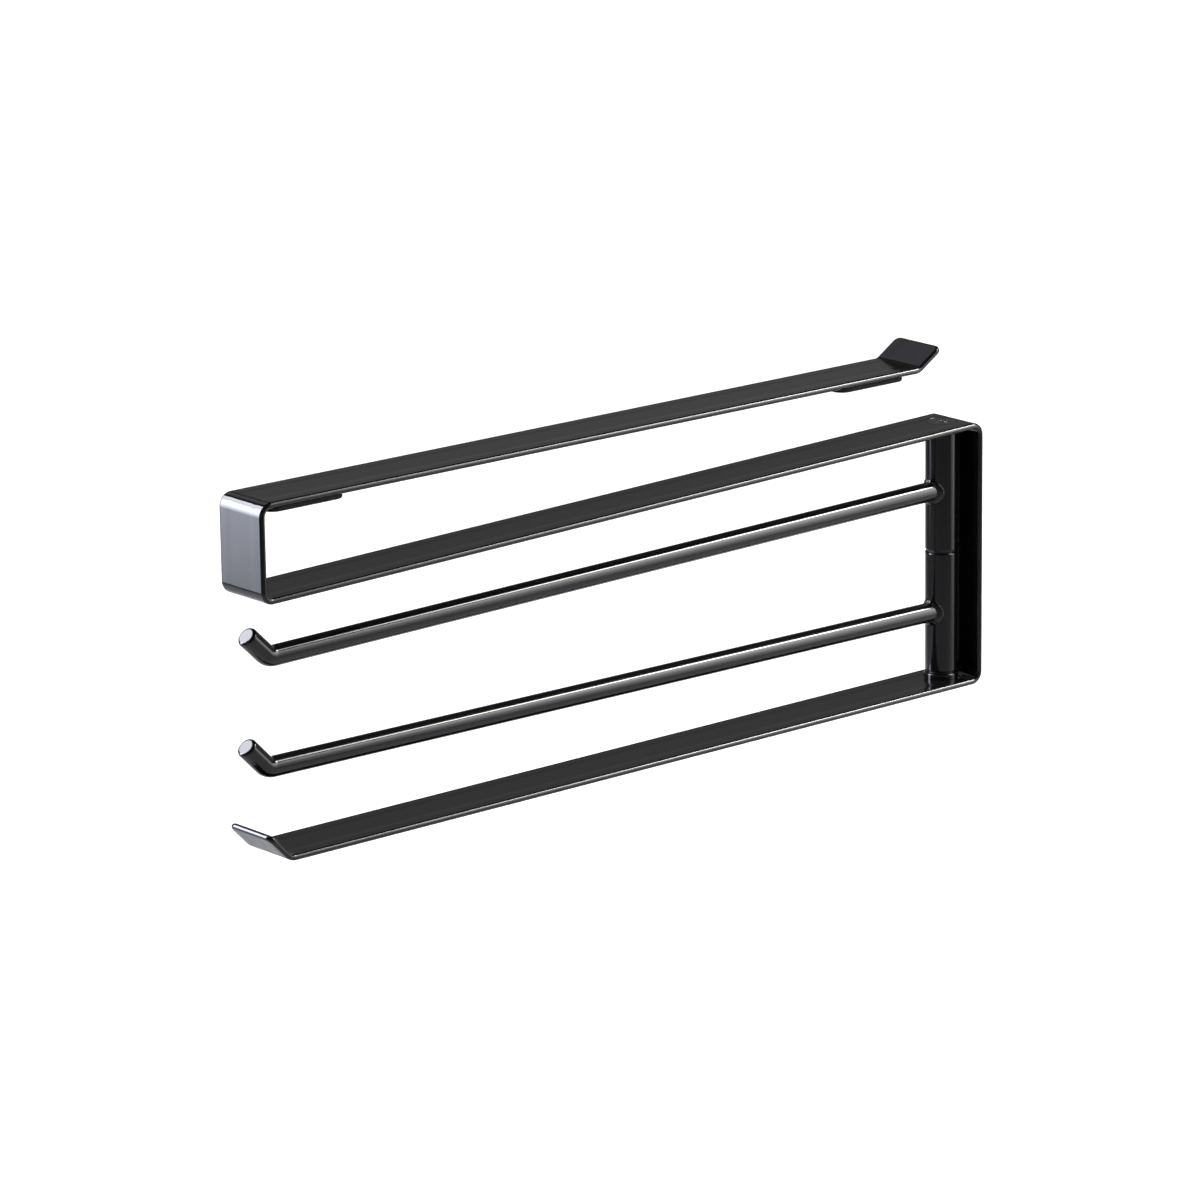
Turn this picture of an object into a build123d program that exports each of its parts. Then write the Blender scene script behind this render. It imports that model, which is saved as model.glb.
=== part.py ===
from build123d import *
from math import cos, radians, sin, tan
import os

os.makedirs("parts", exist_ok=True)

# Under-shelf dishcloth rail, in millimetres.
# Origin: centre of the inner face of the front web, where the shelf board's front edge stops.
# +X runs into the cupboard, +Z is up, and the strip is centred on Y = 0.

# Flat bar
overall_length = 365.0
strip_width = 25.0
strip_thickness = 2.4
bend_inner_radius = 2.8
edge_chamfer = 0.7
tip_corner_radius = 3.0

# Shelf slot: the top arm is set towards the middle arm, so that the clip grips
slot_height = 33.5
top_arm_lean = 0.76
top_arm_setback = 35.3
top_tip_length = 13.9
top_tip_turn = 32.0
tip_inner_radius = 3.8

# Lower bay: the middle and bottom arms lean slightly together towards the front
bay_height = 103.7
bay_arm_lean = 0.59
bottom_bend_inset = 8.0
bottom_tip_length = 14.1
bottom_tip_turn = 46.0

# Anti-slip pads and their adhesive film
pad_length = 36.0
pad_width = 21.0
pad_thickness = 2.0
pad_corner_radius = 5.0
tape_thickness = 0.2
tape_inset = 0.8
front_pad_gap = 3.5
rear_pad_gap = 5.2

# Spindle and its two countersunk screws
spindle_inset = 8.9
spindle_diameter = 9.0
spindle_chamfer = 0.5
screw_head_diameter = 12.0
screw_head_angle = 90.0
screw_diameter = 6.0
screw_reach = 9.0
screw_clearance = 0.05
tapped_hole_spare = 2.0
recess_width = 5.4
recess_slot = 1.3
recess_depth = 1.8
recess_taper = 12.0

# Sleeves, thrust washers, foot ring and bushes
sleeve_diameter = 13.2
sleeve_wall = 1.0
sleeve_end_chamfer = 0.7
washer_diameter = 11.6
washer_thickness = 0.5
foot_ring_diameter = 13.8
foot_ring_thickness = 2.4
foot_ring_chamfer = 0.8
bush_length = 9.0
bush_fit = 0.01
running_clearance = 0.05
thrust_clearance = 0.05

# Swing arms
rod_diameter = 8.0
arm_bend_inset = 8.8
arm_tip_length = 14.0
arm_tip_turn = 45.0
arm_bend_radius = 6.0
arm_end_rounding = 1.3
weld_bead_radius = 1.4
weld_gap = 0.05
upper_arm_tilt = -0.23
lower_arm_tilt = 1.0
upper_arm_swing = 0.0
lower_arm_swing = -0.39


def slope(angle):
    return tan(radians(angle))


# Places along the bar, worked out from the sizes above
back_face_x = overall_length - strip_thickness
spindle_x = back_face_x - strip_thickness - spindle_inset
top_arm_reach = back_face_x - top_arm_setback
arm_reach = spindle_x - arm_bend_inset
arm_face_drop = strip_thickness / cos(radians(bay_arm_lean))


def top_arm_underside(x):
    return slot_height / 2 - x * slope(top_arm_lean)


def middle_arm_top(x):
    return -slot_height / 2 + x * slope(bay_arm_lean)


bay_top = middle_arm_top(back_face_x) - arm_face_drop
bay_floor = bay_top - bay_height


def bottom_arm_top(x):
    return bay_floor + (back_face_x - x) * slope(bay_arm_lean)


# The bar's path runs midway between its two broad faces, from the top tip to the bottom tip
half_thickness = strip_thickness / 2
front_web_x = -half_thickness
back_web_x = back_face_x - half_thickness
web_bend_radius = bend_inner_radius + half_thickness
tip_bend_radius = tip_inner_radius + half_thickness


def on_top_arm(x):
    return (x, top_arm_underside(x) + half_thickness / cos(radians(top_arm_lean)))


def on_middle_arm(x):
    return (x, middle_arm_top(x) - arm_face_drop / 2)


def on_bottom_arm(x):
    return (x, bottom_arm_top(x) - arm_face_drop / 2)


def upturned_tip(bend, length, turn, heading):
    x, z = bend
    return (x + heading * length * cos(radians(turn)), z + length * sin(radians(turn)))


top_bend = on_top_arm(top_arm_reach)
bottom_bend = on_bottom_arm(bottom_bend_inset)
bar_corners = [
    upturned_tip(top_bend, top_tip_length, top_tip_turn, heading=1),
    top_bend,
    on_top_arm(front_web_x),
    on_middle_arm(front_web_x),
    on_middle_arm(back_web_x),
    on_bottom_arm(back_web_x),
    bottom_bend,
    upturned_tip(bottom_bend, bottom_tip_length, bottom_tip_turn, heading=-1),
]
bar_bend_radii = [
    tip_bend_radius,
    web_bend_radius,
    web_bend_radius,
    web_bend_radius,
    web_bend_radius,
    tip_bend_radius,
]

# The spindle is plumb, so its screws and washers take their heights where it crosses the arms
middle_arm_z = middle_arm_top(spindle_x)
ceiling_z = middle_arm_z - arm_face_drop
floor_z = bottom_arm_top(spindle_x)
underside_z = floor_z - arm_face_drop
lean_relief = foot_ring_diameter / 2 * slope(bay_arm_lean)

# Stack on the spindle, from the bottom arm up
sleeve_bore = sleeve_diameter - 2 * sleeve_wall
foot_ring_z = floor_z + lean_relief
bottom_washer_z = foot_ring_z + foot_ring_thickness
lower_sleeve_z = bottom_washer_z + washer_thickness + thrust_clearance
top_washer_z = ceiling_z - lean_relief - washer_thickness
between_sleeves = washer_thickness + 2 * thrust_clearance
sleeve_length = (top_washer_z - thrust_clearance - lower_sleeve_z - between_sleeves) / 2
middle_washer_z = lower_sleeve_z + sleeve_length + thrust_clearance
upper_sleeve_z = middle_washer_z + washer_thickness + thrust_clearance


# Both screws share one bore and one countersink
bore_radius = screw_diameter / 2 + screw_clearance
sink_radius = screw_head_diameter / 2 + screw_clearance


def screw_seat(height, upward):
    return Plane(origin=(spindle_x, 0, height), z_dir=(0, 0, upward))


def straight_edge(length):
    return lambda e: e.geom_type == GeomType.LINE and abs(e.length - length) < 0.001


with BuildPart() as frame_strip:
    with BuildLine(Plane.XZ):
        bar_path = FilletPolyline(*bar_corners, radius=bar_bend_radii)
    with BuildSketch(Plane(origin=bar_path @ 0, x_dir=(0, 1, 0), z_dir=bar_path % 0)):
        Rectangle(strip_width, strip_thickness)
    sweep()
    ends = ShapeList(frame_strip.faces().sort_by_distance(bar_path @ end)[0] for end in (0, 1))
    fillet(ends.edges().filter_by(straight_edge(strip_thickness)), radius=tip_corner_radius)
    bend_lines = frame_strip.edges().filter_by(straight_edge(strip_width))
    side_lines = frame_strip.edges().filter_by(straight_edge(strip_thickness))
    chamfer(frame_strip.edges() - bend_lines - side_lines, length=edge_chamfer)
    with Locations(screw_seat(middle_arm_z, 1), screw_seat(underside_z, -1)):
        CounterSinkHole(
            radius=bore_radius,
            counter_sink_radius=sink_radius,
            counter_sink_angle=screw_head_angle,
            depth=2 * strip_thickness,
        )
frame_strip.part.label = "frame_strip"
export_step(frame_strip.part, "parts/frame_strip.step")


def arm_underside_plane(x, depth):
    lean = radians(top_arm_lean)
    down = Vector(-sin(lean), 0, -cos(lean))
    along = Vector(cos(lean), 0, -sin(lean))
    return Plane(origin=Vector(x, 0, top_arm_underside(x)) + down * depth, x_dir=along, z_dir=down)


def adhesive_film(middle):
    with BuildPart() as film:
        with BuildSketch(arm_underside_plane(middle, 0)):
            RectangleRounded(
                pad_length - 2 * tape_inset, pad_width - 2 * tape_inset, pad_corner_radius - tape_inset
            )
        extrude(amount=tape_thickness)
    return film.part


def slip_pad(middle):
    with BuildPart() as pad:
        with BuildSketch(arm_underside_plane(middle, tape_thickness)):
            RectangleRounded(pad_length, pad_width, pad_corner_radius)
        extrude(amount=pad_thickness)
    return pad.part


for end, middle in (
    ("front", front_pad_gap + pad_length / 2),
    ("rear", top_arm_reach - rear_pad_gap - pad_length / 2),
):
    tape = adhesive_film(middle)
    tape.label = f"{end}_pad_tape"
    export_step(tape, f"parts/{end}_pad_tape.step")
    pad = slip_pad(middle)
    pad.label = f"{end}_pad"
    export_step(pad, f"parts/{end}_pad.step")

# The countersunk heads are taller than the bar is thick, so the tapped holes open out for their tips
tapped_hole_depth = screw_reach + tapped_hole_spare
spindle_base = floor_z + lean_relief
spindle_top = ceiling_z - lean_relief
sink_at_spindle = sink_radius - (middle_arm_z - spindle_top) * slope(screw_head_angle / 2)
tapped_hole_mouth = max(sink_at_spindle, bore_radius + spindle_chamfer)

with BuildPart() as spindle:
    with BuildSketch(Plane((spindle_x, 0, spindle_base))):
        Circle(spindle_diameter / 2)
    extrude(amount=spindle_top - spindle_base)
    chamfer(spindle.edges().filter_by(GeomType.CIRCLE), length=spindle_chamfer)
    with Locations(screw_seat(spindle_top, 1), screw_seat(spindle_base, -1)):
        CounterSinkHole(
            radius=bore_radius,
            counter_sink_radius=tapped_hole_mouth,
            counter_sink_angle=screw_head_angle,
            depth=tapped_hole_depth,
        )
spindle.part.label = "spindle"
export_step(spindle.part, "parts/spindle.step")


def countersunk_screw(seat):
    head_radius = screw_head_diameter / 2
    shank_radius = screw_diameter / 2
    head_height = (head_radius - shank_radius) / slope(screw_head_angle / 2)
    length = head_height + screw_reach
    with BuildPart() as screw:
        with BuildSketch(Plane(origin=seat.origin, x_dir=seat.x_dir, z_dir=-seat.y_dir)):
            with BuildLine():
                Polyline(
                    (0, 0),
                    (head_radius, 0),
                    (shank_radius, -head_height),
                    (shank_radius, -length),
                    (0, -length),
                    close=True,
                )
            make_face()
        revolve(axis=Axis(seat.origin, seat.z_dir))
        with BuildSketch(seat):
            Rectangle(recess_width, recess_slot)
            Rectangle(recess_slot, recess_width)
        extrude(amount=-recess_depth, taper=recess_taper, mode=Mode.SUBTRACT)
    return screw.part


for name, seat in (
    ("top_screw", screw_seat(middle_arm_z, 1)),
    ("bottom_screw", screw_seat(underside_z, -1)),
):
    screw = countersunk_screw(seat)
    screw.label = name
    export_step(screw, f"parts/{name}.step")


def ring(base_z, outer_diameter, bore_diameter, height):
    with BuildPart() as band:
        with BuildSketch(Plane((spindle_x, 0, base_z))):
            Circle(outer_diameter / 2)
            Circle(bore_diameter / 2, mode=Mode.SUBTRACT)
        extrude(amount=height)
    return band.part


spindle_bore = spindle_diameter + 2 * running_clearance

with BuildPart() as foot_ring:
    add(ring(foot_ring_z, foot_ring_diameter, spindle_bore, foot_ring_thickness))
    rim = foot_ring.faces().sort_by(Axis.Z)[-1].edges().sort_by(SortBy.RADIUS)[-1]
    chamfer(rim, length=foot_ring_chamfer)
foot_ring.part.label = "foot_ring"
export_step(foot_ring.part, "parts/foot_ring.step")

for name, base_z in (
    ("bottom_washer", bottom_washer_z),
    ("middle_washer", middle_washer_z),
    ("top_washer", top_washer_z),
):
    washer = ring(base_z, washer_diameter, spindle_bore, washer_thickness)
    washer.label = name
    export_step(washer, f"parts/{name}.step")


def sleeve(base_z):
    with BuildPart() as tube:
        add(ring(base_z, sleeve_diameter, sleeve_bore, sleeve_length))
        outer_rims = tube.edges().filter_by(GeomType.CIRCLE).group_by(SortBy.RADIUS)[-1]
        chamfer(outer_rims, length=sleeve_end_chamfer)
    return tube.part


def swing_rod(base_z, tilt, swing):
    height = base_z + sleeve_length / 2
    turn = radians(swing)
    outward = Vector(-cos(turn), -sin(turn), 0)
    side = Vector(-sin(turn), cos(turn), 0)
    bend = (arm_reach, arm_reach * slope(tilt))
    tip = upturned_tip(bend, arm_tip_length, tilt + arm_tip_turn, heading=1)
    with BuildPart() as rod:
        with BuildLine(Plane(origin=(spindle_x, 0, height), x_dir=outward, z_dir=side)):
            route = FilletPolyline((0, 0), bend, tip, radius=arm_bend_radius)
        with BuildSketch(Plane(origin=route @ 0, z_dir=route % 0)):
            Circle(rod_diameter / 2)
        sweep()
        end_face = rod.faces().filter_by(GeomType.PLANE).sort_by(Axis.X)[0]
        fillet(end_face.edges(), radius=arm_end_rounding)
        with BuildSketch(Plane((spindle_x, 0, base_z))):
            Circle(sleeve_diameter / 2)
        extrude(amount=sleeve_length)
        weld_line = rod.edges().filter_by(lambda e: e.geom_type not in (GeomType.LINE, GeomType.CIRCLE))
        fillet(weld_line, radius=weld_bead_radius)
        with BuildSketch(Plane((spindle_x, 0, base_z))):
            Circle(sleeve_diameter / 2 + weld_gap)
        extrude(amount=sleeve_length, mode=Mode.SUBTRACT)
    return rod.part


for side_name, base_z, tilt, swing in (
    ("upper", upper_sleeve_z, upper_arm_tilt, upper_arm_swing),
    ("lower", lower_sleeve_z, lower_arm_tilt, lower_arm_swing),
):
    tube = sleeve(base_z)
    tube.label = f"{side_name}_sleeve"
    export_step(tube, f"parts/{side_name}_sleeve.step")
    rod = swing_rod(base_z, tilt, swing)
    rod.label = f"{side_name}_rod"
    export_step(rod, f"parts/{side_name}_rod.step")
    for end, bush_z in (("bottom", base_z), ("top", base_z + sleeve_length - bush_length)):
        bush = ring(bush_z, sleeve_bore - 2 * bush_fit, spindle_bore, bush_length)
        bush.label = f"{side_name}_sleeve_{end}_bush"
        export_step(bush, f"parts/{side_name}_sleeve_{end}_bush.step")
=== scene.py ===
import math
import bmesh
import bpy
from mathutils import Euler, Matrix, Vector


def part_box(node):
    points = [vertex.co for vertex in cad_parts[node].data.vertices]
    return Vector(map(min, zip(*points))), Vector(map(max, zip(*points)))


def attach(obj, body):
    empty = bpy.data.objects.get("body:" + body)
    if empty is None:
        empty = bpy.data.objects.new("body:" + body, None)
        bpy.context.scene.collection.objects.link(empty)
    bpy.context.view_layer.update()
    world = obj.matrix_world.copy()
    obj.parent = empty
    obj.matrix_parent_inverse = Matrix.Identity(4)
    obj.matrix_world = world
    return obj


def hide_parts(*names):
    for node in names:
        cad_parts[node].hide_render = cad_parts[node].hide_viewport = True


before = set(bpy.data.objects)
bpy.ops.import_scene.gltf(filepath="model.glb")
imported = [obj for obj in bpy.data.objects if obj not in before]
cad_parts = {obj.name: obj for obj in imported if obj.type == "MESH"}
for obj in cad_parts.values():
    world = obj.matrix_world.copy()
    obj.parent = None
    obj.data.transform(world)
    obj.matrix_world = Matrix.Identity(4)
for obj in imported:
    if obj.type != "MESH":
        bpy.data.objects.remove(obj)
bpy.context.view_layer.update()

bpy.context.scene.view_settings.view_transform = "Standard"

# Flat bar
# One length of 25 by 2.4 mm flat steel with round rolled edges. Its blank is cut with rounded
# corners, countersunk twice, bent six times on a press brake and powder coated gloss black.
MM = 0.001
bar_width = 25.0 * MM
bar_thickness = 2.4 * MM
overall_length = 365.0 * MM
slot_height = 33.5 * MM
bay_height = 103.7 * MM
top_arm_lean = math.radians(0.76)
bay_arm_lean = math.radians(0.59)
top_arm_setback = 35.3 * MM
top_tip_length = 13.9 * MM
top_tip_turn = math.radians(32.0)
bottom_bend_inset = 8.0 * MM
bottom_tip_length = 14.1 * MM
bottom_tip_turn = math.radians(46.0)
web_bend_radius = 4.0 * MM
tip_bend_radius = 5.0 * MM
blank_corner_radius = 3.0 * MM
spindle_x = 351.3 * MM
screw_head_radius = 6.0 * MM
screw_radius = 3.0 * MM
bend_step = math.radians(7.5)
crease_angle = math.radians(35)
merge_distance = 0.001 * MM

back_face_x = overall_length - bar_thickness
top_bend_x = back_face_x - top_arm_setback
half_bar = bar_thickness / 2
edge_round = half_bar * 0.97  # a hair short of half, so that the two rounds do not meet


def top_arm_middle(x):
    return slot_height / 2 - x * math.tan(top_arm_lean) + half_bar


def middle_arm_middle(x):
    return -slot_height / 2 + x * math.tan(bay_arm_lean) - half_bar


def bottom_arm_middle(x):
    bay_floor = middle_arm_middle(back_face_x) - half_bar - bay_height
    return bay_floor + (back_face_x - x) * math.tan(bay_arm_lean) - half_bar


def bar_route():
    """The bar's middle line as corners in the XZ plane, from the top tip to the bottom tip."""
    top_bend = Vector((top_bend_x, top_arm_middle(top_bend_x)))
    bottom_bend = Vector((bottom_bend_inset, bottom_arm_middle(bottom_bend_inset)))
    top_rise = Vector((math.cos(top_tip_turn), math.sin(top_tip_turn))) * top_tip_length
    bottom_rise = Vector((-math.cos(bottom_tip_turn), math.sin(bottom_tip_turn))) * bottom_tip_length
    front, back = -half_bar, back_face_x - half_bar
    return [
        top_bend + top_rise,
        top_bend,
        Vector((front, top_arm_middle(front))),
        Vector((front, middle_arm_middle(front))),
        Vector((back, middle_arm_middle(back))),
        Vector((back, bottom_arm_middle(back))),
        bottom_bend,
        bottom_bend + bottom_rise,
    ]


def runs_and_bends(corners, radii):
    """Straight runs and arcs in order, each with its start along the developed blank."""
    pieces = []
    reach = 0.0
    start = corners[0]
    for i, radius in enumerate(radii, start=1):
        before = (corners[i] - corners[i - 1]).normalized()
        after = (corners[i + 1] - corners[i]).normalized()
        turn = before.angle_signed(after)
        setback = radius * math.tan(abs(turn) / 2)
        run_end = corners[i] - before * setback
        length = (run_end - start).length
        pieces.append((reach, length, start, before, 0.0, 0.0))
        reach += length
        pieces.append((reach, radius * abs(turn), run_end, before, turn, radius))
        reach += radius * abs(turn)
        start = corners[i] + after * setback
    last = (corners[-1] - corners[-2]).normalized()
    pieces.append((reach, (corners[-1] - start).length, start, last, 0.0, 0.0))
    return pieces


def place_on_route(pieces, along):
    """Point and direction on the route at a distance along the blank."""
    for reach, length, start, heading, turn, radius in pieces:
        if along <= reach + length or pieces[-1][0] == reach:
            step = along - reach
            if not turn:
                return start + heading * step, heading
            part = turn * step / length
            side = Vector((-heading.y, heading.x)) * math.copysign(1.0, -turn)
            centre = start + side * radius
            spoke = Matrix.Rotation(-part, 2) @ (start - centre)
            return centre + spoke, Matrix.Rotation(-part, 2) @ heading


def new_piece(name, bm, body, material, replaced=()):
    """Turns a bmesh into a smooth piece that rides on a body."""
    mesh = bpy.data.meshes.new(name)
    bm.to_mesh(mesh)
    bm.free()
    mesh.shade_smooth()
    mesh.set_sharp_from_angle(angle=crease_angle)
    piece = bpy.data.objects.new(name, mesh)
    bpy.context.scene.collection.objects.link(piece)
    mesh.materials.append(material)
    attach(piece, body)
    if replaced:
        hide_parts(*replaced)
    return piece


def even_shading(piece):
    """Keeps flat faces flat in the highlights, so that only the rounds between them shade round."""
    piece.modifiers.new("even_shading", "WEIGHTED_NORMAL").keep_sharp = True


def linear(code):
    """An sRGB hex colour as linear RGBA."""
    values = [int(code[i:i + 2], 16) / 255 for i in (1, 3, 5)]
    return [v / 12.92 if v <= 0.04045 else ((v + 0.055) / 1.055) ** 2.4 for v in values] + [1.0]


def add_node(tree, kind, inputs=None, **settings):
    """Adds a node; inputs gives each socket a value or the output that feeds it."""
    node = tree.nodes.new(kind)
    for key, value in settings.items():
        setattr(node, key, value)
    for key, value in (inputs or {}).items():
        if isinstance(value, bpy.types.NodeSocket):
            tree.links.new(value, node.inputs[key])
        else:
            node.inputs[key].default_value = value
    return node


def new_material(name):
    material = bpy.data.materials.new(name)
    material.use_nodes = True
    material.node_tree.nodes.clear()
    return material, material.node_tree


def powder_coat(name, thick_edges):
    """Gloss black epoxy-polyester powder, baked. It levels to a near mirror with a faint orange
    peel, and draws back from edges into a low ridge a few millimetres inside them."""
    material, tree = new_material(name)
    place = add_node(tree, "ShaderNodeTexCoord").outputs["Object"]
    peel = add_node(tree, "ShaderNodeTexNoise", {"Vector": place, "Scale": 1 / (1.8 * MM), "Detail": 2.0})
    flow = add_node(tree, "ShaderNodeTexNoise", {"Vector": place, "Scale": 1 / (14.0 * MM), "Detail": 3.0})
    height = add_node(tree, "ShaderNodeMath", {0: flow.outputs["Fac"], 1: 3.0, 2: peel.outputs["Fac"]},
                      operation="MULTIPLY_ADD").outputs[0]
    if thick_edges:
        across = add_node(tree, "ShaderNodeSeparateXYZ", {0: place}).outputs["Y"]
        inset = add_node(tree, "ShaderNodeMath", {0: across}, operation="ABSOLUTE").outputs[0]
        ridge = add_node(tree, "ShaderNodeMapRange", {
            "Value": inset, "From Min": bar_width / 2 - 7.5 * MM, "From Max": bar_width / 2 - 3.8 * MM,
            "To Min": 0.0, "To Max": 8.0}, interpolation_type="SMOOTHSTEP").outputs[0]
        height = add_node(tree, "ShaderNodeMath", {0: height, 1: ridge}, operation="ADD").outputs[0]
    bump = add_node(tree, "ShaderNodeBump", {"Height": height, "Strength": 1.0, "Distance": 0.008 * MM})
    gloss = add_node(tree, "ShaderNodeMapRange", {"Value": flow.outputs["Fac"], "From Min": 0.3, "From Max": 0.7,
                                                 "To Min": 0.1, "To Max": 0.15}).outputs[0]
    speck = add_node(tree, "ShaderNodeTexNoise", {"Vector": place, "Scale": 1 / (0.5 * MM), "Detail": 2.0})
    shade = add_node(tree, "ShaderNodeMix", {"Factor": speck.outputs["Fac"], "A": linear("#09090a"),
                                            "B": linear("#100f10")}, data_type="RGBA")
    coat = add_node(tree, "ShaderNodeBsdfPrincipled", {
        "Base Color": shade.outputs["Result"], "Roughness": gloss, "IOR": 1.5, "Normal": bump.outputs["Normal"]})
    add_node(tree, "ShaderNodeOutputMaterial", {"Surface": coat.outputs["BSDF"]})
    return material


bar_coat = powder_coat("gloss_black_powder_coat_bar", thick_edges=True)
round_coat = powder_coat("gloss_black_powder_coat", thick_edges=False)


def flat_blank(length):
    """The cut blank lying flat, with rounded corners and its whole rim rolled to a round."""
    bm = bmesh.new()
    bmesh.ops.create_cube(bm, size=1.0)
    bmesh.ops.scale(bm, vec=(length, bar_width, bar_thickness), verts=bm.verts)
    bmesh.ops.translate(bm, vec=(length / 2, 0, 0), verts=bm.verts)
    upright = [e for e in bm.edges if abs(e.verts[0].co.z - e.verts[1].co.z) > half_bar]
    bmesh.ops.bevel(bm, geom=upright, offset=blank_corner_radius, segments=8, profile=0.5,
                    affect="EDGES", material=-1)
    rims = [e for e in bm.edges if abs(e.verts[0].co.z - e.verts[1].co.z) < half_bar
            and any(abs(f.normal.z) < 0.5 for f in e.link_faces)]
    bmesh.ops.bevel(bm, geom=rims, offset=edge_round, segments=6, profile=0.5,
                    affect="EDGES", material=-1)
    return bm


bend_radii = [tip_bend_radius] + [web_bend_radius] * 4 + [tip_bend_radius]
route_parts = runs_and_bends(bar_route(), bend_radii)
blank_length = route_parts[-1][0] + route_parts[-1][1]
bar = flat_blank(blank_length)
for reach, length, _, _, turn, _ in route_parts:
    cuts = max(2, round(abs(turn) / bend_step))
    for k in range(cuts + 1) if turn else ():
        whole = bar.verts[:] + bar.edges[:] + bar.faces[:]
        bmesh.ops.bisect_plane(bar, geom=whole, plane_co=(reach + length * k / cuts, 0, 0),
                               plane_no=(1, 0, 0))
for v in bar.verts:
    point, heading = place_on_route(route_parts, v.co.x)
    outward = Vector((heading.y, -heading.x)) * v.co.z
    v.co = Vector((point.x + outward.x, v.co.y, point.y + outward.y))
bmesh.ops.recalc_face_normals(bar, faces=bar.faces)
bar_piece = new_piece("bent_bar", bar, "frame", bar_coat, ["frame_strip"])


def countersink_cutter(z_face, upward):
    """A drill and countersink in one, set on a face of the bar."""
    bm = bmesh.new()
    wide = screw_head_radius + 0.2 * MM
    depth = wide + 1 * MM
    bmesh.ops.create_cone(bm, segments=64, radius1=0.0, radius2=depth, depth=depth, cap_ends=True)
    bmesh.ops.translate(bm, vec=(0, 0, 1 * MM - depth / 2), verts=bm.verts)
    bmesh.ops.create_cone(bm, segments=64, radius1=screw_radius + 0.1 * MM, radius2=screw_radius + 0.1 * MM,
                          depth=12 * MM, cap_ends=True)
    if not upward:
        bmesh.ops.rotate(bm, matrix=Matrix.Rotation(math.pi, 3, "X"), verts=bm.verts)
    bmesh.ops.translate(bm, vec=(spindle_x, 0, z_face), verts=bm.verts)
    mesh = bpy.data.meshes.new("countersink")
    bm.to_mesh(mesh)
    bm.free()
    cutter = bpy.data.objects.new("countersink", mesh)
    bpy.context.scene.collection.objects.link(cutter)
    return cutter


for z_face, upward in ((middle_arm_middle(spindle_x) + half_bar, True),
                       (bottom_arm_middle(spindle_x) - half_bar, False)):
    cutter = countersink_cutter(z_face, upward)
    cut = bar_piece.modifiers.new("countersink", "BOOLEAN")
    cut.object = cutter
    cut.solver = "EXACT"
    cut.use_self = True
    bpy.context.view_layer.update()
    worked_out = bpy.context.evaluated_depsgraph_get()
    cut_mesh = bpy.data.meshes.new_from_object(bar_piece.evaluated_get(worked_out))
    bar_piece.modifiers.clear()
    bar_piece.data = cut_mesh
    cut_mesh.set_sharp_from_angle(angle=crease_angle)
    bpy.data.objects.remove(cutter)
even_shading(bar_piece)

# Slip pads
# Two strips of black neoprene under the top arm that grip the shelf board. They are die cut with
# rounded ends and stuck on with a thin double-sided film.
pad_length = 36.0 * MM
pad_width = 21.0 * MM
pad_thickness = 2.0 * MM
pad_corner = 5.0 * MM
film_thickness = 0.2 * MM
pad_middles = (("front", 3.5 * MM + pad_length / 2), ("rear", top_bend_x - 5.2 * MM - pad_length / 2))


def neoprene():
    """Skin-faced neoprene sheet: matt, and slightly grey where light grazes its fine skin."""
    material, tree = new_material("matt_black_neoprene")
    place = add_node(tree, "ShaderNodeTexCoord").outputs["Object"]
    grain = add_node(tree, "ShaderNodeTexNoise", {"Vector": place, "Scale": 1 / (0.35 * MM), "Detail": 4.0})
    cloud = add_node(tree, "ShaderNodeTexNoise", {"Vector": place, "Scale": 1 / (6.0 * MM), "Detail": 3.0})
    bump = add_node(tree, "ShaderNodeBump", {"Height": grain.outputs["Fac"], "Distance": 0.05 * MM})
    shade = add_node(tree, "ShaderNodeMix", {"Factor": cloud.outputs["Fac"], "A": linear("#0c0c0c"),
                                            "B": linear("#1b1b1a")}, data_type="RGBA")
    rough = add_node(tree, "ShaderNodeMapRange", {"Value": cloud.outputs["Fac"], "To Min": 0.75, "To Max": 0.95})
    rubber = add_node(tree, "ShaderNodeBsdfPrincipled", {
        "Base Color": shade.outputs["Result"], "Roughness": rough.outputs[0], "IOR": 1.52,
        "Normal": bump.outputs["Normal"]})
    add_node(tree, "ShaderNodeOutputMaterial", {"Surface": rubber.outputs["BSDF"]})
    return material


pad_rubber = neoprene()
for end, middle in pad_middles:
    bm = bmesh.new()
    bmesh.ops.create_cube(bm, size=1.0)
    bmesh.ops.scale(bm, vec=(pad_length, pad_width, pad_thickness), verts=bm.verts)
    upright = [e for e in bm.edges if abs(e.verts[0].co.z - e.verts[1].co.z) > pad_thickness / 2]
    bmesh.ops.bevel(bm, geom=upright, offset=pad_corner, segments=10, profile=0.5,
                    affect="EDGES", material=-1)
    rims = [e for e in bm.edges if e.verts[0].co.z < 0 and e.verts[1].co.z < 0
            and any(abs(f.normal.z) < 0.5 for f in e.link_faces)]
    bmesh.ops.bevel(bm, geom=rims, offset=0.45 * MM, segments=3, profile=0.5,
                    affect="EDGES", material=-1)
    drop = film_thickness + pad_thickness / 2
    bmesh.ops.translate(bm, vec=(0, 0, -drop), verts=bm.verts)
    bmesh.ops.rotate(bm, matrix=Matrix.Rotation(top_arm_lean, 3, "Y"), verts=bm.verts)
    bmesh.ops.translate(bm, vec=(middle, 0, top_arm_middle(middle) - half_bar), verts=bm.verts)
    pad = new_piece(end + "_slip_pad", bm, "frame", pad_rubber, [end + "_pad"])
    even_shading(pad)


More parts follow.
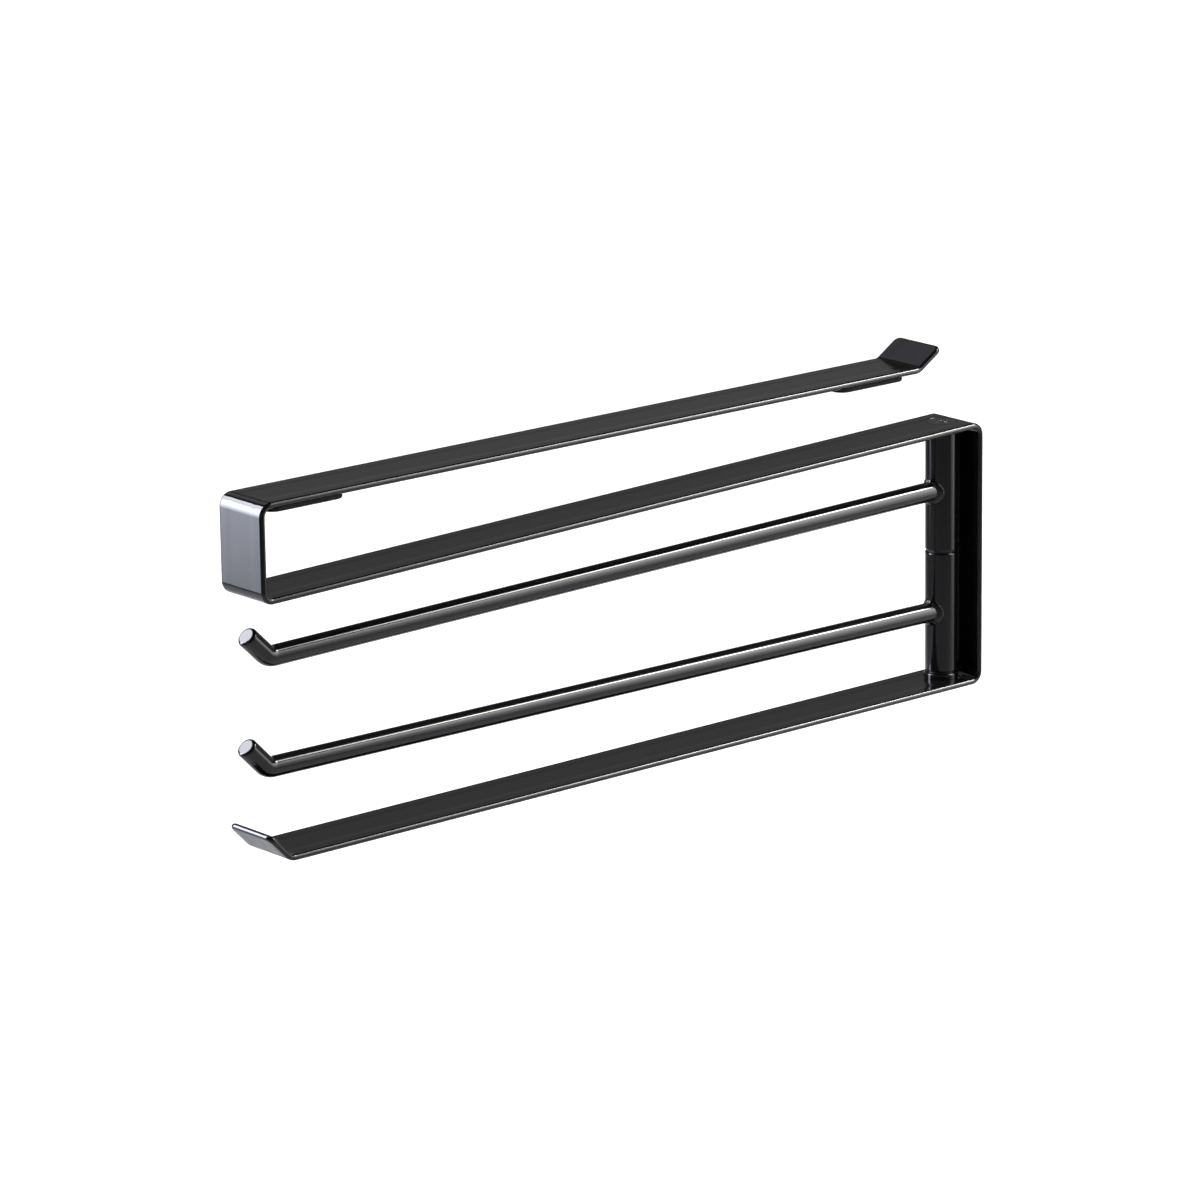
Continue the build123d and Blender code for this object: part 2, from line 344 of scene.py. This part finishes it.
def satin_finish(name, dark, light, roughness, spread, grain, depth, **surface):
    """A plain satin surface with fine grain in its relief and a slow drift in shade and gloss."""
    material, tree = new_material(name)
    place = add_node(tree, "ShaderNodeTexCoord").outputs["Object"]
    fine = add_node(tree, "ShaderNodeTexNoise", {"Vector": place, "Scale": 1 / grain, "Detail": 3.0})
    drift = add_node(tree, "ShaderNodeTexNoise", {"Vector": place, "Scale": 1 / (8 * grain), "Detail": 2.0})
    bump = add_node(tree, "ShaderNodeBump", {"Height": fine.outputs["Fac"], "Distance": depth})
    shade = add_node(tree, "ShaderNodeMix", {"Factor": drift.outputs["Fac"], "A": linear(dark),
                                            "B": linear(light)}, data_type="RGBA")
    rough = add_node(tree, "ShaderNodeMapRange", {"Value": fine.outputs["Fac"], "To Min": roughness - spread,
                                                 "To Max": roughness + spread})
    skin = add_node(tree, "ShaderNodeBsdfPrincipled", {
        "Base Color": shade.outputs["Result"], "Roughness": rough.outputs[0], "Normal": bump.outputs["Normal"],
        **surface})
    add_node(tree, "ShaderNodeOutputMaterial", {"Surface": skin.outputs["BSDF"]})
    return material


def finish_node(name, material):
    """Gives a carried-over solid its real finish."""
    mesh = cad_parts[name].data
    mesh.materials.clear()
    mesh.materials.append(material)


adhesive_film = satin_finish("black_acrylic_adhesive_film", "#141414", "#1f1f1f", 0.45, 0.1,
                             0.6 * MM, 0.01 * MM)
finish_node("front_pad_tape", adhesive_film)
finish_node("rear_pad_tape", adhesive_film)

# Spindle and its screws
# A turned mild-steel pin, zinc plated, tapped at both ends. It stands between the middle and
# bottom arms and is held by a black countersunk machine screw from above and from below.
bright_zinc = satin_finish("turned_zinc_plated_steel", "#a9acb1", "#c9ccd0", 0.3, 0.08, 0.4 * MM, 0.004 * MM,
                           Metallic=1.0)
black_zinc = satin_finish("black_zinc_plated_steel", "#0e0e0f", "#1b1b1c", 0.22, 0.06, 0.5 * MM, 0.006 * MM,
                          IOR=1.6)
finish_node("spindle", bright_zinc)
for name in ("top_screw", "bottom_screw"):
    finish_node(name, black_zinc)

# Washers, bushes and foot ring
# Moulded black nylon washers and bushes carry the turning sleeves, and a powder-coated steel
# ring under the lower sleeve spreads the load on the bottom arm.
nylon = satin_finish("moulded_black_nylon", "#0d0d0d", "#181818", 0.42, 0.1, 0.3 * MM, 0.008 * MM, IOR=1.53)
for name in ("top_washer", "middle_washer", "bottom_washer", "upper_sleeve_top_bush",
             "upper_sleeve_bottom_bush", "lower_sleeve_top_bush", "lower_sleeve_bottom_bush"):
    finish_node(name, nylon)

ring_low, ring_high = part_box("foot_ring")
ring_radius = (ring_high.x - ring_low.x) / 2
spindle_bore = 4.6 * MM


def turned(profile, name, body, replaced):
    """Spins a closed profile of (radius, height) points round the spindle's axis."""
    bm = bmesh.new()
    verts = [bm.verts.new((spindle_x + r, 0, z)) for r, z in profile]
    edges = [bm.edges.new((verts[i], verts[(i + 1) % len(verts)])) for i in range(len(verts))]
    bmesh.ops.spin(bm, geom=verts + edges, cent=(spindle_x, 0, 0), axis=(0, 0, 1), angle=2 * math.pi,
                   steps=128, use_merge=True)
    bmesh.ops.remove_doubles(bm, verts=bm.verts, dist=merge_distance)
    bmesh.ops.recalc_face_normals(bm, faces=bm.faces)
    even_shading(new_piece(name, bm, body, round_coat, replaced))


def rounded_corner(centre_r, centre_z, radius, start, stop, steps=5):
    """Points of a rounded rim on a turned profile, angles in degrees from outward."""
    angles = [math.radians(start + (stop - start) * k / steps) for k in range(steps + 1)]
    return [(centre_r + radius * math.cos(a), centre_z + radius * math.sin(a)) for a in angles]


ring_round = 0.8 * MM
turned([(spindle_bore, ring_low.z), (ring_radius, ring_low.z)]
       + rounded_corner(ring_radius - ring_round, ring_high.z - ring_round, ring_round, 0, 90)
       + [(spindle_bore, ring_high.z)], "foot_collar", "frame", ["foot_ring"])

# Sleeves
# Two lengths of 13.2 mm steel tube, one above the other on the spindle, with their ends turned
# smooth before they are coated together with the arms.
sleeve_radius = 6.6 * MM
sleeve_bore = 5.6 * MM
rim_round = 0.7 * MM
for side in ("upper", "lower"):
    low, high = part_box(side + "_sleeve")
    turned([(sleeve_bore, low.z)]
           + rounded_corner(sleeve_radius - rim_round, low.z + rim_round, rim_round, -90, 0)
           + rounded_corner(sleeve_radius - rim_round, high.z - rim_round, rim_round, 0, 90)
           + [(sleeve_bore, high.z)], side + "_tube", side + "_arm", [side + "_sleeve"])

# Swing arms
# Each arm is 8 mm round bar with an upturned end, coped to its sleeve and welded all round by
# hand, so the bead shows faint ripples under the coating.
arm_radius = 4.0 * MM
arm_bend_inset = 8.8 * MM
arm_tip_length = 14.0 * MM
arm_tip_turn = math.radians(45.0)
arm_bend_radius = 6.0 * MM
arm_end_round = 1.3 * MM
arm_start = 5.7 * MM
bead_radius = 1.5 * MM
bead_ripples = 22
arm_reach = spindle_x - arm_bend_inset


def set_on_sleeve(bm, height, tilt, swing):
    """Takes an arm drawn along +X from the spindle's axis to its place on the sleeve."""
    turn = Matrix.Rotation(math.pi + swing, 3, "Z") @ Matrix.Rotation(-tilt, 3, "Y")
    bmesh.ops.rotate(bm, matrix=turn, verts=bm.verts)
    bmesh.ops.translate(bm, vec=(spindle_x, 0, height), verts=bm.verts)


for side, tilt, swing in (("upper", math.radians(-0.23), 0.0),
                          ("lower", math.radians(1.0), math.radians(-0.39))):
    low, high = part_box(side + "_sleeve")
    height = (low.z + high.z) / 2
    bm = bmesh.new()
    section = bmesh.ops.create_circle(bm, segments=64, radius=arm_radius, cap_ends=True)["verts"]
    bmesh.ops.rotate(bm, matrix=Matrix.Rotation(math.pi / 2, 3, "Y"), verts=section)
    bmesh.ops.translate(bm, vec=(arm_start, 0, 0), verts=section)
    reach = arm_reach / math.cos(tilt)
    setback = arm_bend_radius * math.tan(arm_tip_turn / 2)
    tip = bmesh.ops.extrude_face_region(bm, geom=bm.faces[:])["geom"]
    moved = [g for g in tip if isinstance(g, bmesh.types.BMVert)]
    bmesh.ops.translate(bm, vec=(reach - setback - arm_start, 0, 0), verts=moved)
    face = [g for g in tip if isinstance(g, bmesh.types.BMFace)]
    curl = bmesh.ops.spin(bm, geom=face, cent=(reach - setback, 0, arm_bend_radius), axis=(0, -1, 0),
                          angle=arm_tip_turn, steps=14)["geom_last"]
    bmesh.ops.delete(bm, geom=[f for f in face if f.is_valid], context="FACES_ONLY")
    last = [g for g in curl if isinstance(g, bmesh.types.BMFace)]
    tip = bmesh.ops.extrude_face_region(bm, geom=last)["geom"]
    bmesh.ops.delete(bm, geom=[f for f in last if f.is_valid], context="FACES_ONLY")
    moved = [g for g in tip if isinstance(g, bmesh.types.BMVert)]
    rest = arm_tip_length - setback
    rise = (rest * math.cos(arm_tip_turn), 0, rest * math.sin(arm_tip_turn))
    bmesh.ops.translate(bm, vec=rise, verts=moved)
    end_face = [g for g in tip if isinstance(g, bmesh.types.BMFace)][0]
    bmesh.ops.bevel(bm, geom=end_face.edges[:], offset=arm_end_round, segments=6, profile=0.5,
                    affect="EDGES", material=-1)
    bmesh.ops.recalc_face_normals(bm, faces=bm.faces)
    set_on_sleeve(bm, height, tilt, swing)
    arm = new_piece(side + "_arm_bar", bm, side + "_arm", round_coat,
                    [side + "_rod"])
    even_shading(arm)

    bm = bmesh.new()
    bead = bmesh.ops.create_circle(bm, segments=16, radius=bead_radius)["verts"]
    bmesh.ops.rotate(bm, matrix=Matrix.Rotation(math.pi / 2, 3, "X"), verts=bead)
    bmesh.ops.translate(bm, vec=(0, 0, arm_radius), verts=bead)
    bmesh.ops.spin(bm, geom=bm.verts[:] + bm.edges[:], cent=(0, 0, 0), axis=(1, 0, 0),
                   angle=2 * math.pi, steps=10 * bead_ripples, use_merge=True)
    bmesh.ops.remove_doubles(bm, verts=bm.verts, dist=merge_distance)
    for v in bm.verts:
        around = math.atan2(v.co.z, v.co.y)
        out = math.hypot(v.co.y, v.co.z) - arm_radius
        swell = 0.92 + 0.08 * abs(math.sin(around * bead_ripples / 2 + 0.35 * math.sin(3 * around)))
        ring = arm_radius + out * swell
        v.co.y, v.co.z = ring * math.cos(around), ring * math.sin(around)
        saddle = math.sqrt(max(sleeve_radius ** 2 - min(abs(v.co.y), sleeve_radius * 0.92) ** 2, 0))
        v.co.x = saddle + v.co.x * swell * 0.75
    bmesh.ops.recalc_face_normals(bm, faces=bm.faces)
    set_on_sleeve(bm, height, tilt, swing)
    new_piece(side + "_weld_bead", bm, side + "_arm", round_coat)

# Floor
# A plain pale floor well under the rail. The camera sees it white; close under the rail it stays
# a little below white, so that the soft shadow shows.
floor_middle = (0.18, 0, -0.45)
away_from_camera = (0.656, 0.754, 0)
across_view = (-0.754, 0.656, 0)
bm = bmesh.new()
bmesh.ops.create_circle(bm, segments=96, radius=9.0, cap_ends=True)
bmesh.ops.translate(bm, vec=floor_middle, verts=bm.verts)
floor_mesh = bpy.data.meshes.new("floor")
bm.to_mesh(floor_mesh)
bm.free()
floor = bpy.data.objects.new("floor", floor_mesh)
bpy.context.scene.collection.objects.link(floor)
material, tree = new_material("pale_floor")
place = add_node(tree, "ShaderNodeTexCoord").outputs["Object"]
rays = add_node(tree, "ShaderNodeLightPath").outputs
away = add_node(tree, "ShaderNodeVectorMath", {0: place, 1: floor_middle},
                operation="DISTANCE").outputs["Value"]
level = add_node(tree, "ShaderNodeMapRange", {"Value": away, "From Min": 0.25, "From Max": 0.75, "To Min": 0.72,
                                             "To Max": 1.0}, interpolation_type="SMOOTHSTEP").outputs[0]
behind = add_node(tree, "ShaderNodeVectorMath", {0: place, 1: away_from_camera},
                  operation="DOT_PRODUCT").outputs["Value"]
aside = add_node(tree, "ShaderNodeVectorMath", {0: place, 1: across_view},
                 operation="DOT_PRODUCT").outputs["Value"]
aside = add_node(tree, "ShaderNodeMath", {0: aside}, operation="ABSOLUTE").outputs[0]
deep = add_node(tree, "ShaderNodeMapRange", {"Value": behind, "From Min": 0.4, "From Max": 0.8}).outputs[0]
near_middle = add_node(tree, "ShaderNodeMapRange", {"Value": aside, "From Min": 0.8, "From Max": 0.5}).outputs[0]
patch = add_node(tree, "ShaderNodeMath", {0: deep, 1: near_middle}, operation="MULTIPLY").outputs[0]
mirrored = add_node(tree, "ShaderNodeMath", {0: rays["Is Glossy Ray"], 1: rays["Is Transmission Ray"]},
                    operation="MAXIMUM").outputs[0]
mirrored = add_node(tree, "ShaderNodeMath", {0: mirrored, 1: patch}, operation="MULTIPLY").outputs[0]
seen = add_node(tree, "ShaderNodeMath", {0: rays["Is Camera Ray"], 1: mirrored}, operation="MAXIMUM").outputs[0]
strength = add_node(tree, "ShaderNodeMath", {0: seen, 1: level}, operation="MULTIPLY").outputs[0]
dust = add_node(tree, "ShaderNodeTexNoise", {"Vector": place, "Scale": 6.0, "Detail": 3.0})
paint = add_node(tree, "ShaderNodeMix", {"Factor": dust.outputs["Fac"], "A": linear("#b4b4b4"),
                                        "B": linear("#bebebe")}, data_type="RGBA")
matt = add_node(tree, "ShaderNodeBsdfDiffuse", {"Color": paint.outputs["Result"]})
glow = add_node(tree, "ShaderNodeEmission", {"Color": linear("#ffffff"), "Strength": strength})
both = add_node(tree, "ShaderNodeAddShader", {0: matt.outputs[0], 1: glow.outputs[0]})
add_node(tree, "ShaderNodeOutputMaterial", {"Surface": both.outputs[0]})
floor.data.materials.append(material)

# Studio light
# A tall graded softbox in front and to the right, and a narrow strip above it that draws the
# bright line along every near edge. Two softboxes behind on the left light the front web and its
# bend, a third the turned-up ends, and a weak card the top tip. A broad fill hangs above.


def soft_panel(name, centre, facing, width, height, colour, ramps):
    """A glowing panel that the camera doesn't see. Each ramp is (axis, from, to, low, high), in
    metres on the panel, and their product is the strength."""
    bm = bmesh.new()
    bmesh.ops.create_grid(bm, x_segments=1, y_segments=1, size=0.5)
    bmesh.ops.scale(bm, vec=(width, height, 1), verts=bm.verts)
    mesh = bpy.data.meshes.new(name)
    bm.to_mesh(mesh)
    bm.free()
    panel = bpy.data.objects.new(name, mesh)
    bpy.context.scene.collection.objects.link(panel)
    panel.location = centre
    panel.rotation_mode = "QUATERNION"
    panel.rotation_quaternion = Vector(facing).to_track_quat("Z", "Y")
    material, tree = new_material(name + "_light")
    spot = add_node(tree, "ShaderNodeTexCoord").outputs["Object"]
    split = add_node(tree, "ShaderNodeSeparateXYZ", {0: spot}).outputs
    strength = None
    for axis, start, stop, low, high in ramps:
        ramp = add_node(tree, "ShaderNodeMapRange", {"Value": split[axis], "From Min": start, "From Max": stop,
                                                    "To Min": low, "To Max": high}).outputs[0]
        strength = ramp if strength is None else add_node(
            tree, "ShaderNodeMath", {0: strength, 1: ramp}, operation="MULTIPLY").outputs[0]
    rear = add_node(tree, "ShaderNodeNewGeometry").outputs["Backfacing"]
    lit = add_node(tree, "ShaderNodeMath", {0: 1.0, 1: rear}, operation="SUBTRACT").outputs[0]
    strength = add_node(tree, "ShaderNodeMath", {0: strength, 1: lit}, operation="MULTIPLY").outputs[0]
    glow = add_node(tree, "ShaderNodeEmission", {"Color": linear(colour), "Strength": strength})
    add_node(tree, "ShaderNodeOutputMaterial", {"Surface": glow.outputs[0]})
    panel.data.materials.append(material)
    panel.visible_camera = False


soft_panel("front_softbox", (1.05, -1.0, 0.265), (-0.69, 0.72, 0.0), 0.9, 1.43, "#fbfaff",
           [(0, 0.35, -0.25, 0.22, 1.58), (1, -0.915, 0.715, 0.0, 5.9)])
soft_panel("edge_strip_light", (1.1, -0.51, 0.95), (0.0, 0.47, -0.88), 0.85, 0.2, "#fffaf2",
           [(0, 0.36, -0.3, 0.0, 72.0)])
soft_panel("back_softbox", (-0.609, 0.793, 0.16), (0.609, -0.793, 0.0), 0.3, 1.1, "#e6ebfb",
           [(1, -0.54, 0.05, 0.0, 24.0)])
soft_panel("high_back_softbox", (-0.53, 0.62, 0.98), (0.5, -0.58, -0.64), 0.5, 0.5, "#f4f4f6",
           [(1, 0.25, -0.25, 0.0, 14.0)])
soft_panel("tip_softbox", (-0.31, 0.87, 0.6), (0.27, -0.75, -0.6), 0.3, 0.4, "#eef0fb",
           [(1, -0.2, 0.2, 11.0, 14.0)])
soft_panel("back_card", (0.35, 0.94, 0.84), (0.0, -0.75, -0.66), 0.5, 0.4, "#f2f2ff",
           [(0, -0.2, 0.2, 0.5, 0.5)])
fill = bpy.data.lights.new("overhead_fill", "AREA")
fill.shape = "RECTANGLE"
fill.size = 1.6
fill.size_y = 1.6
fill.energy = 16.0
lamp = bpy.data.objects.new("overhead_fill", fill)
lamp.location = (0.18, -0.2, 1.6)
lamp.visible_camera = False
lamp.visible_glossy = False
bpy.context.scene.collection.objects.link(lamp)

# Room
# A dim grey studio, palest near the floor and almost dark overhead.
world = bpy.data.worlds.new("dim_studio")
bpy.context.scene.world = world
world.use_nodes = True
tree = world.node_tree
tree.nodes.clear()
direction = add_node(tree, "ShaderNodeTexCoord").outputs["Generated"]
rise = add_node(tree, "ShaderNodeSeparateXYZ", {0: direction}).outputs["Z"]
shade = add_node(tree, "ShaderNodeValToRGB", {0: rise})
for place_on_ramp, code in ((0.0, "#8f8f8f"), (0.12, "#858585"), (0.27, "#6c6c6b"), (0.5, "#343434")):
    stop = shade.color_ramp.elements.new(place_on_ramp)
    stop.color = linear(code)
shade.color_ramp.elements.remove(shade.color_ramp.elements[0])
shade.color_ramp.elements[-1].position = 1.0
shade.color_ramp.elements[-1].color = linear("#262626")
back = add_node(tree, "ShaderNodeBackground", {"Color": shade.outputs["Color"], "Strength": 1.0})
add_node(tree, "ShaderNodeOutputWorld", {"Surface": back.outputs[0]})

# Camera
# A long lens about 2.3 m away, to the left and some 16 degrees above the rail, slightly rolled.
camera = bpy.data.cameras.new("camera")
camera.sensor_width = 36.0
camera.lens = 181.56
camera.clip_end = 50.0
eye = bpy.data.objects.new("camera", camera)
aim = Euler((math.radians(90 - 15.619), 0, math.radians(-41.024))).to_matrix()
eye.matrix_world = Matrix.Translation((-1.29036, -1.67791, 0.56977)) @ (
    aim @ Matrix.Rotation(math.radians(-0.742), 3, "Z")).to_4x4()
bpy.context.scene.collection.objects.link(eye)
bpy.context.scene.camera = eye
